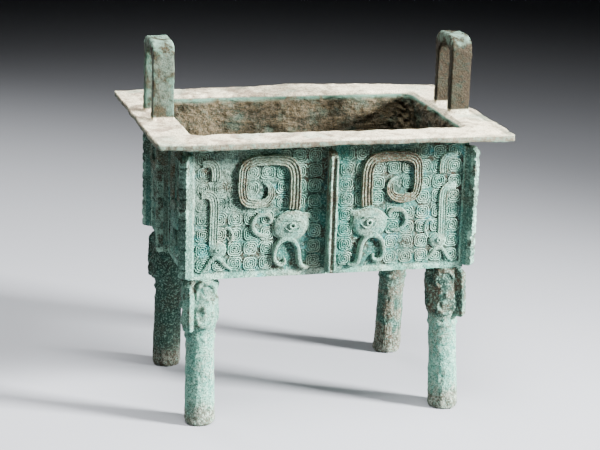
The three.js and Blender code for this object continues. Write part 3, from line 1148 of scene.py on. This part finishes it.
class Wiring:
    """Adds nodes to one tree."""

    def __init__(self, tree):
        self.tree = tree

    def put(self, value, socket):
        """Link a socket, or set a plain value."""
        if isinstance(value, bpy.types.NodeSocket):
            self.tree.links.new(value, socket)
        else:
            socket.default_value = value

    def calculate(self, operation, a, b=0.0):
        """One step of arithmetic."""
        node = self.tree.nodes.new("ShaderNodeMath")
        node.operation = operation
        self.put(a, node.inputs[0])
        self.put(b, node.inputs[1])
        return node.outputs[0]

    def plus(self, a, b):
        """A sum."""
        return self.calculate("ADD", a, b)

    def times(self, first, *others):
        """The product of masks or values."""
        for other in others:
            first = self.calculate("MULTIPLY", first, other)
        return first

    def rest(self, mask):
        """1 where a mask is 0, and the other way round."""
        return self.calculate("SUBTRACT", 1.0, mask)

    def rise(self, value, low, high):
        """0 below low and 1 above high, with soft ends."""
        node = self.tree.nodes.new("ShaderNodeMapRange")
        node.interpolation_type = "SMOOTHSTEP"
        self.put(value, node.inputs["Value"])
        node.inputs["From Min"].default_value = low
        node.inputs["From Max"].default_value = high
        return node.outputs[0]

    def fall(self, value, low, high):
        """1 below low and 0 above high."""
        return self.rest(self.rise(value, low, high))

    def noise(self, place, scale, detail=4.0, roughness=0.6):
        """Cloudy noise, with its scale in clouds to the metre."""
        node = self.tree.nodes.new("ShaderNodeTexNoise")
        self.put(place, node.inputs["Vector"])
        node.inputs["Scale"].default_value = scale
        node.inputs["Detail"].default_value = detail
        node.inputs["Roughness"].default_value = roughness
        return node.outputs["Fac"]

    def stretched(self, place, scale):
        """A place whose axes are scaled, for streaks."""
        node = self.tree.nodes.new("ShaderNodeMapping")
        self.put(place, node.inputs["Vector"])
        node.inputs["Scale"].default_value = scale
        return node.outputs[0]

    def axes(self, place):
        """The three parts of a place, in millimetres."""
        node = self.tree.nodes.new("ShaderNodeSeparateXYZ")
        self.put(place, node.inputs[0])
        return [self.times(part, 1 / MM) for part in node.outputs]

    def lay(self, under, over, *masks):
        """Lay one colour over another as far as all its masks allow."""
        node = self.tree.nodes.new("ShaderNodeMix")
        node.data_type = "RGBA"
        self.put(self.times(*masks), node.inputs[0])
        self.put(under, node.inputs[6])
        self.put(over, node.inputs[7])
        return node.outputs[2]


# %% [markdown]
# The first group only says where a point lies. How far it stands out from the wall tells
# the hollows from the ridges and the ridges from the dragons' bands, and its height and
# side tell the rest. The masks have soft edges a fraction of a millimetre wide.

# %% Masks by place
ZONES = (
    "Ridge", "Band side", "Top ridge", "Flange", "Flange groove", "Corner flange shade", "Coil",
    "Smooth strip", "Worn corner", "Below rim", "Rim", "Rim edge", "Inside", "Leg", "Foot",
    "Rear leg", "Handle", "Handle top", "Left",
)
UNSURE_BY = 22


def zones_group():
    """Masks for the parts of the vessel, from a place in metres."""
    group, given, result = group_with(
        "vessel zones", [("Place", "NodeSocketVector")], [(name, "NodeSocketFloat") for name in ZONES],
    )
    w = Wiring(group)
    place = given.outputs["Place"]
    x, y, z = w.axes(place)
    wide, deep = w.calculate("ABSOLUTE", x), w.calculate("ABSOLUTE", y)
    out = w.calculate("MAXIMUM", w.plus(wide, -BOX_HALF.x), w.plus(deep, -BOX_HALF.y))
    unsure = w.plus(z, w.times(w.plus(w.noise(place, 110), -0.5), UNSURE_BY))
    under_rim = w.fall(z, 159.5, 161)
    below_box = w.fall(z, 83, 84.2)
    wall = w.times(under_rim, w.rise(z, 83, 84.2))
    in_groove = w.fall(w.calculate("MINIMUM", wide, deep), 0.8, 1.1)
    masks = {
        "Ridge": w.calculate("MAXIMUM", w.rise(out, 0.12, 0.4), w.fall(z, 86.5, 88.5)),
        "Band side": w.times(wall, w.rise(out, 0.7, 1.1), w.fall(out, 2.0, 2.3)),
        "Top ridge": w.times(wall, w.rise(out, 2.0, 2.5)),
        "Flange": w.times(wall, w.rise(out, 3.3, 4.0)),
        "Flange groove": w.times(wall, w.rise(out, 4.5, 5.5), in_groove),
        "Corner flange shade": w.times(wall, w.rise(wide, 77.2, 78), w.rise(deep, 49.7, 50.5)),
        "Coil": w.times(w.rise(unsure, 115, 127), w.rise(out, 0.9, 1.4), under_rim),
        "Smooth strip": w.times(
            wall, w.fall(y, -50, -49), w.rise(x, 1, 3), w.fall(x, 8, 13), w.fall(out, 0.6, 1.2),
        ),
        "Worn corner": w.times(wall, w.fall(x, -50, -20), w.rise(unsure, 108, 128)),
        "Below rim": w.fall(z, 159.5, 160.5),
        "Rim": w.rise(z, 160, 161.2),
        "Rim edge": w.times(w.rise(z, 159, 160), w.fall(z, 163.6, 164.6), w.rise(out, 14.5, 16.5)),
        "Inside": w.times(w.fall(out, -1.8, -1.0), w.fall(z, 162.8, 164), w.rise(z, 85, 86.5)),
        "Leg": below_box,
        "Foot": w.fall(unsure, 8, 15),
        "Rear leg": w.times(below_box, w.rise(y, -10, 20)),
        "Handle": w.rise(z, 166.4, 167.6),
        "Handle top": w.rise(unsure, 202, 208),
        "Left": w.fall(x, -20, 20),
    }
    for name in ZONES:
        group.links.new(masks[name], result.inputs[name])
    return group


zones = zones_group()
print(len(ZONES), "zones of the vessel")

# %% [markdown]
# The second group lays the colours over each other as they lie on the metal, with some
# painted shade and highlight among them. All parts share five noises, from broad clouds to
# fine grain, so that a stain runs on from one part to the next. The palette is dark and
# strong, because the render makes bright colours paler.

# %% Palette and noises of the patina
MINT = (0.085, 0.225, 0.17, 1)
PALE = (0.24, 0.41, 0.32, 1)
SEA = (0.028, 0.13, 0.108, 1)
MOSS = (0.022, 0.058, 0.044, 1)
DEEP = (0.006, 0.018, 0.013, 1)
SOIL = (0.026, 0.021, 0.013, 1)
BROWN = (0.055, 0.036, 0.022, 1)
PINK = (0.22, 0.165, 0.12, 1)
OCHRE = (0.08, 0.06, 0.031, 1)
OLIVE = (0.026, 0.022, 0.011, 1)
CREAM = (0.72, 0.65, 0.46, 1)
GREY = (0.2, 0.2, 0.16, 1)
ASH = (0.12, 0.175, 0.135, 1)
JADE = (0.075, 0.13, 0.10, 1)
TURQUOISE = (0.035, 0.24, 0.25, 1)
TAN = (0.15, 0.12, 0.085, 1)
UMBER = (0.014, 0.0095, 0.005, 1)


class Patina(Wiring):
    """Wiring inside the patina's group, with its zones and noises at hand."""

    def __init__(self, tree, place):
        super().__init__(tree)
        zone_node = tree.nodes.new("ShaderNodeGroup")
        zone_node.node_tree = zones
        self.put(place, zone_node.inputs["Place"])
        self.place = place
        self.zone = zone_node.outputs
        self.height = self.axes(place)[2]
        self.broad = self.noise(place, 26, 3)
        self.patchy = self.noise(place, 80, 5, 0.65)
        self.blotch = self.noise(place, 150, 4, 0.6)
        self.speck = self.noise(place, 430, 4, 0.7)
        self.grain = self.noise(place, 1250, 3, 0.7)
        self.streaky = self.noise(self.stretched(place, (1, 1, 3)), 70, 5, 0.65)


print("the patina's group reads", zones.name)

# %% [markdown]
# The walls have a dark green ground in the hollows and pale mint on the ridges, where
# light corrosion covers them, with touches of blue. The hollows' green is deepened as
# painted shade in the recesses. The dragons are greyer and browner, most of all on the
# coils, where earth has stayed in the engraved lines. One function for each part takes
# the colour so far and lays its own over it. In them p is the patina's kit of zones and
# noises.

# %% Colours of the walls and the dragons


def wall_colour(p):
    """Hollows with painted shade, ridges and blue touches of the ground."""
    # Painted shade: the hollows are laid darker than the ridges, on top of their green patina.
    hollow = p.lay(MOSS, SOIL, p.rise(p.patchy, 0.42, 0.6))
    hollow = p.lay(hollow, SEA, p.rise(p.blotch, 0.46, 0.64), 0.8)
    ridge = p.lay(MINT, PALE, p.rise(p.patchy, 0.4, 0.58))
    ridge = p.lay(ridge, SEA, p.rise(p.blotch, 0.52, 0.66), 0.55)
    ridge = p.lay(ridge, PINK, p.rise(p.noise(p.place, 45, 4), 0.52, 0.62), 0.4)
    colour = p.lay(hollow, ridge, p.zone["Ridge"])
    return p.lay(colour, TURQUOISE, p.rise(p.noise(p.place, 62, 4), 0.56, 0.66), 0.5)


def with_dragons(p, colour):
    """The dragons' smooth parts and the brown bands of their coils."""
    dragon = p.lay(JADE, MINT, p.rise(p.speck, 0.48, 0.7))
    dragon = p.lay(dragon, BROWN, p.rise(p.patchy, 0.44, 0.58), 0.5)
    dragon = p.lay(dragon, SEA, p.rise(p.blotch, 0.5, 0.62), 0.5)
    raised = p.rise(p.plus(p.zone["Band side"], p.zone["Top ridge"]), 0, 1)
    colour = p.lay(colour, dragon, raised, 0.8)
    band = p.lay(OCHRE, PINK, p.rise(p.speck, 0.46, 0.7))
    brown = p.plus(0.58, p.times(p.rise(p.broad, 0.36, 0.56), 0.3))
    return p.lay(colour, band, p.zone["Coil"], brown)


# %% [markdown]
# Some places stand apart. An ashy patch at the upper left, a smooth dark strip to the
# right of the middle flange and brown earth in the flanges' grooves have aged in their own
# way. Brown below the rim, deepening towards it, is painted shade of the rim; the corner
# flanges' sides carry painted shade; and the flange edges are laid pale, partly as rubbed
# wear and partly as painted highlight.

# %% Colours of the walls' worn places, painted shade and highlight


def with_worn_places_and_painted_light(p, colour):
    """Painted shade under the rim and on the corner flanges, ash, the smooth strip, and flange edges
    partly painted as highlight.
    """
    # Painted shade: brown deepens towards the rim, where the rim overhang would shade the wall.
    upper = p.times(p.rise(p.height, 118, 158), p.fall(p.height, 159, 161))
    colour = p.lay(colour, BROWN, upper, p.rise(p.broad, 0.36, 0.58), 0.5)
    colour = p.lay(colour, ASH, p.zone["Worn corner"], p.rise(p.blotch, 0.36, 0.58), 0.7)
    strip = p.lay(SEA, MOSS, p.rise(p.patchy, 0.4, 0.58))
    colour = p.lay(colour, strip, p.zone["Smooth strip"], 0.85)
    # Painted shade: the corner flanges' sides are laid over with dark green.
    side = p.lay(MOSS, SEA, p.rise(p.patchy, 0.42, 0.6))
    colour = p.lay(colour, side, p.zone["Corner flange shade"], 0.7)
    # Pale flange edges: partly rubbed wear, partly a painted highlight.
    edge = p.lay(PALE, BROWN, p.rise(p.blotch, 0.5, 0.6))
    colour = p.lay(colour, edge, p.zone["Flange"], p.rise(p.patchy, 0.4, 0.6), 0.75)
    return p.lay(colour, BROWN, p.zone["Flange groove"], 0.85)


# %% [markdown]
# The front legs are mint and pale, with darker masks, and the right one's mask is laid
# darker still as painted shade. The rear legs are dark green and brown, dusty towards the
# ground, the back-left one laid near black as painted shade, and all feet are grey where
# they were buried.

# %% Colours of the legs


def with_legs(p, colour):
    """Front legs, their masks, rear legs and feet."""
    leg = p.lay(MINT, SEA, p.rise(p.patchy, 0.42, 0.62), 0.55)
    leg = p.lay(leg, PALE, p.rise(p.speck, 0.42, 0.66), 0.7)
    leg = p.lay(leg, TAN, p.rise(p.broad, 0.5, 0.62), p.rise(p.speck, 0.4, 0.6), 0.5)
    leg = p.lay(leg, SOIL, p.rise(p.blotch, 0.54, 0.64), p.rise(p.height, 50, 60), 0.85)
    mask = p.lay(DEEP, BROWN, p.rise(p.blotch, 0.42, 0.58))
    mask_height = p.rise(p.height, 52, 58)
    # Painted shade: the right leg's mask is laid darker than the left one's.
    mask_share_with_right_shade = p.rest(p.times(p.zone["Left"], 0.6))
    leg = p.lay(leg, mask, mask_height, p.rise(p.patchy, 0.32, 0.46), mask_share_with_right_shade, 0.92)
    colour = p.lay(colour, leg, p.zone["Leg"])
    rear = p.lay(MOSS, BROWN, p.rise(p.patchy, 0.45, 0.6))
    rear = p.lay(rear, SEA, p.rise(p.blotch, 0.52, 0.64), p.rise(p.height, 40, 60))
    dust = p.lay(BROWN, TAN, p.rise(p.speck, 0.4, 0.6))
    rear = p.lay(rear, dust, p.fall(p.height, 35, 55), p.rise(p.patchy, 0.38, 0.54))
    # Painted shade: the back-left leg is laid over with near black, as in the body's shadow.
    rear = p.lay(rear, DEEP, p.zone["Left"], 0.75)
    colour = p.lay(colour, rear, p.zone["Rear leg"], 0.9)
    foot = p.lay(BROWN, GREY, p.rise(p.speck, 0.42, 0.6))
    return p.lay(colour, foot, p.zone["Foot"], 0.85)


# %% [markdown]
# The inside is olive brown earth in streaks, with mint just below the rim. The rim is
# cream with rosy, tan and green stains, the rosy one laid thicker on the left as painted
# shade, and its outer edge is soiled. The handles are brown: the left one is ashy and
# green, the right one dark.

# %% Colours of the inside, the rim and the handles


def with_inside(p, colour):
    """Earth inside the box."""
    earth = p.lay(OLIVE, OCHRE, p.rise(p.streaky, 0.38, 0.62))
    earth = p.lay(earth, TAN, p.rise(p.speck, 0.45, 0.62), 0.4)
    earth = p.lay(earth, JADE, p.rise(p.patchy, 0.5, 0.64), 0.35)
    earth = p.lay(earth, MINT, p.rise(p.height, 160, 163), p.rise(p.blotch, 0.3, 0.5), 0.6)
    return p.lay(colour, earth, p.zone["Inside"])


def with_rim(p, colour):
    """The stained cream rim with its soiled edge."""
    # Painted shade: the rosy stain is laid thicker on the left, where less light falls.
    rosy_stain_and_left_shade = p.plus(0.25, p.times(p.zone["Left"], 0.55))
    rim = p.lay(CREAM, PINK, p.rise(p.patchy, 0.42, 0.6), rosy_stain_and_left_shade)
    rim = p.lay(rim, PALE, p.rise(p.noise(p.place, 34, 5), 0.5, 0.62), 0.45)
    rim = p.lay(rim, OCHRE, p.rise(p.speck, 0.5, 0.66), 0.5)
    rim = p.lay(rim, TAN, p.rise(p.blotch, 0.48, 0.62), p.rise(p.broad, 0.4, 0.56), 0.6)
    rim = p.lay(rim, BROWN, p.rise(p.grain, 0.5, 0.62), 0.65)
    edge = p.lay(SOIL, JADE, p.rise(p.speck, 0.44, 0.62))
    rim = p.lay(rim, edge, p.zone["Rim edge"], 0.85)
    return p.lay(colour, rim, p.zone["Rim"], p.rest(p.zone["Inside"]))


def with_handles(p, colour):
    """The straps of both handles."""
    strap = p.lay(OLIVE, SOIL, p.rise(p.blotch, 0.34, 0.62))
    strap = p.lay(strap, ASH, p.rise(p.blotch, 0.4, 0.6), p.zone["Left"], 0.5)
    strap = p.lay(strap, UMBER, p.rest(p.zone["Left"]), 0.65)
    green = p.plus(0.04, p.times(p.zone["Left"], 0.34))
    strap = p.lay(strap, MINT, p.rise(p.patchy, 0.48, 0.64), green)
    strap = p.lay(strap, OCHRE, p.rise(p.grain, 0.52, 0.62), 0.3)
    strap = p.lay(strap, DEEP, p.rise(p.speck, 0.52, 0.62), 0.5)
    strap = p.lay(strap, PALE, p.zone["Handle top"], p.rise(p.blotch, 0.42, 0.56), 0.35)
    return p.lay(colour, strap, p.zone["Handle"])


# %% [markdown]
# Over it all lies a fine pale crust with dark pits, below the rim only. The same noises
# drive the roughness and a small bump, so that a grain that shows as colour is also felt
# as relief. The bump is deeper inside and in the worn corner.

# %% The patina's group


def with_crust(p, colour):
    """A fine pale crust outside, and dark pits everywhere below the rim."""
    crust = p.rise(p.noise(p.place, 900, 2, 0.6), 0.52, 0.62)
    colour = p.lay(colour, PALE, crust, p.zone["Below rim"], p.rest(p.zone["Inside"]), 0.4)
    return p.lay(colour, DEEP, p.rise(p.grain, 0.5, 0.6), p.zone["Below rim"], 0.75)


def bump_height(p):
    """Specks and grain everywhere, pits in the worn corner and streaks inside."""
    fine = p.plus(p.times(p.speck, 0.6), p.times(p.grain, 0.4))
    pitted = p.plus(fine, p.times(p.zone["Worn corner"], p.noise(p.place, 240, 4), 1.6))
    return p.plus(pitted, p.times(p.zone["Inside"], p.streaky, 2.5))


def patina_group():
    """Base colour, roughness and bump height from a place in metres."""
    group, given, result = group_with(
        "bronze patina",
        [("Place", "NodeSocketVector")],
        [("Color", "NodeSocketColor"), ("Roughness", "NodeSocketFloat"), ("Height", "NodeSocketFloat")],
    )
    p = Patina(group, given.outputs["Place"])
    colour = wall_colour(p)
    for layer in (
        with_dragons, with_worn_places_and_painted_light, with_legs, with_inside, with_rim, with_handles, with_crust,
    ):
        colour = layer(p, colour)
    group.links.new(colour, result.inputs["Color"])
    group.links.new(p.plus(0.62, p.times(p.patchy, 0.34)), result.inputs["Roughness"])
    group.links.new(bump_height(p), result.inputs["Height"])
    return group


patina = patina_group()
print("patina group has", len(patina.nodes), "nodes")

# %% [markdown]
# The material itself stays small: the patina's group feeds a plain shader. Bare bronze
# would be metallic, but corroded bronze no longer shines like metal. So what is the same
# all over is set on the shader itself: not metallic, and next to no gloss.

# %% Material
GLOSS = 0.12
BUMP_STRENGTH = 0.9
BUMP_DEPTH = 1.5


def bronze_material():
    """The finish of every piece."""
    material = bpy.data.materials.new("patinated_bronze")
    material.use_nodes = True
    nodes, links = material.node_tree.nodes, material.node_tree.links
    shader = nodes["Principled BSDF"]
    shader.inputs["Metallic"].default_value = 0.0
    shader.inputs["Specular IOR Level"].default_value = GLOSS
    coordinates = nodes.new("ShaderNodeTexCoord")
    finish = nodes.new("ShaderNodeGroup")
    finish.node_tree = patina
    bump = nodes.new("ShaderNodeBump")
    bump.inputs["Strength"].default_value = BUMP_STRENGTH
    bump.inputs["Distance"].default_value = BUMP_DEPTH * MM
    links.new(coordinates.outputs["Object"], finish.inputs["Place"])
    links.new(finish.outputs["Color"], shader.inputs["Base Color"])
    links.new(finish.outputs["Roughness"], shader.inputs["Roughness"])
    links.new(finish.outputs["Height"], bump.inputs["Height"])
    links.new(bump.outputs["Normal"], shader.inputs["Normal"])
    return material


# %% [markdown]
# Every piece belongs to the one casting, so all ride on the root body and take the one
# bronze finish, and the plain solid of the frame is hidden.

# %% Finish the pieces and hang them on the frame
SMOOTH_BELOW = 50

bronze = bronze_material()
pieces = [casting, flanges, legs, *dragons, *grounds, inscription_piece]
for piece in pieces:
    piece.data.materials.clear()
    piece.data.materials.append(bronze)
    hold(piece)
    bpy.ops.object.shade_smooth_by_angle(angle=math.radians(SMOOTH_BELOW))
    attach(piece, "root")
    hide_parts("ding_casting")
clear_selection()
triangles = sum(len(face.vertices) - 2 for piece in pieces for face in piece.data.polygons)
print(len(pieces), "pieces with", triangles, "triangles")

# %% [markdown]
# The stage is a plain pale floor that curves up behind, so that no horizon shows. A
# separate wall would leave a line, so the far edge of a plane is extruded up and the
# corner is bevelled into a bend.

# %% Floor
FLOOR_SIZE = 6
FLOOR_BEND = 1
FLOOR_COLOUR = (0.25, 0.258, 0.278, 1)
FLOOR_ROUGHNESS = 0.7


def backdrop():
    """A pale floor whose far edge is extruded up in a soft bend."""
    clear_selection()
    bpy.ops.mesh.primitive_plane_add(size=FLOOR_SIZE, location=(0, 0, 0))
    floor = newly_added("floor")
    far = FLOOR_SIZE / 2 / MM - 1
    pick(floor, "EDGE", lambda a, b: min(a.y, b.y) > far)
    bpy.ops.mesh.extrude_region_move(TRANSFORM_OT_translate={"value": (0, 0, FLOOR_SIZE / 2)})
    pick(floor, "EDGE", lambda a, b: min(a.y, b.y) > far and max(a.z, b.z) < 1)
    bpy.ops.mesh.bevel(offset=FLOOR_BEND, segments=12, affect="EDGES")
    bpy.ops.object.mode_set(mode="OBJECT")
    bpy.ops.object.shade_smooth()
    material = bpy.data.materials.new("pale_floor")
    material.use_nodes = True
    shader = material.node_tree.nodes["Principled BSDF"]
    shader.inputs["Base Color"].default_value = FLOOR_COLOUR
    shader.inputs["Roughness"].default_value = FLOOR_ROUGHNESS
    floor.data.materials.append(material)


backdrop()
print("floor of", FLOOR_SIZE, "metres")

# %% [markdown]
# A small soft light stands low on the right, a little in front, so that it grazes the
# relief as in the photograph. One above lights the inside and the rim, and hardly reaches
# the walls, because the rim shades them. A weak one fills from the left, and one stands
# behind for the views from the back. The surround is even and dim, so that the shadows
# stay deep.

# %% Lights
LIGHTS = {
    # place, target, size in metres, watts and spread in degrees
    "key_light": ((1.21, -0.72, 0.64), (0.06, -0.16, 0.06), 0.26, 24, 48),
    "top_light": ((-0.1, -0.3, 1.5), (0, -0.05, 0.1), 0.7, 10, 70),
    "fill_light": ((-0.9, -1.3, 0.7), (0, 0, 0.1), 1.2, 0.2, 120),
    "back_light": ((-0.5, 1.3, 0.8), (0, 0, 0.1), 0.6, 2.2, 50),
}
SURROUND_COLOUR = (0.9, 0.94, 1, 1)
SURROUND_STRENGTH = 0.02

for name, (place, target, size, watts, spread) in LIGHTS.items():
    clear_selection()
    bpy.ops.object.light_add(type="AREA", location=place)
    light = bpy.context.active_object
    light.name = name
    light.data.size = size
    light.data.energy = watts
    light.data.spread = math.radians(spread)
    aim = Vector(target) - Vector(place)
    light.rotation_euler = aim.to_track_quat("-Z", "Y").to_euler()
surround = bpy.data.worlds.new("surround")
bpy.context.scene.world = surround
surround.use_nodes = True
surround.node_tree.nodes["Background"].inputs["Color"].default_value = SURROUND_COLOUR
surround.node_tree.nodes["Background"].inputs["Strength"].default_value = SURROUND_STRENGTH
print(len(LIGHTS), "lights")
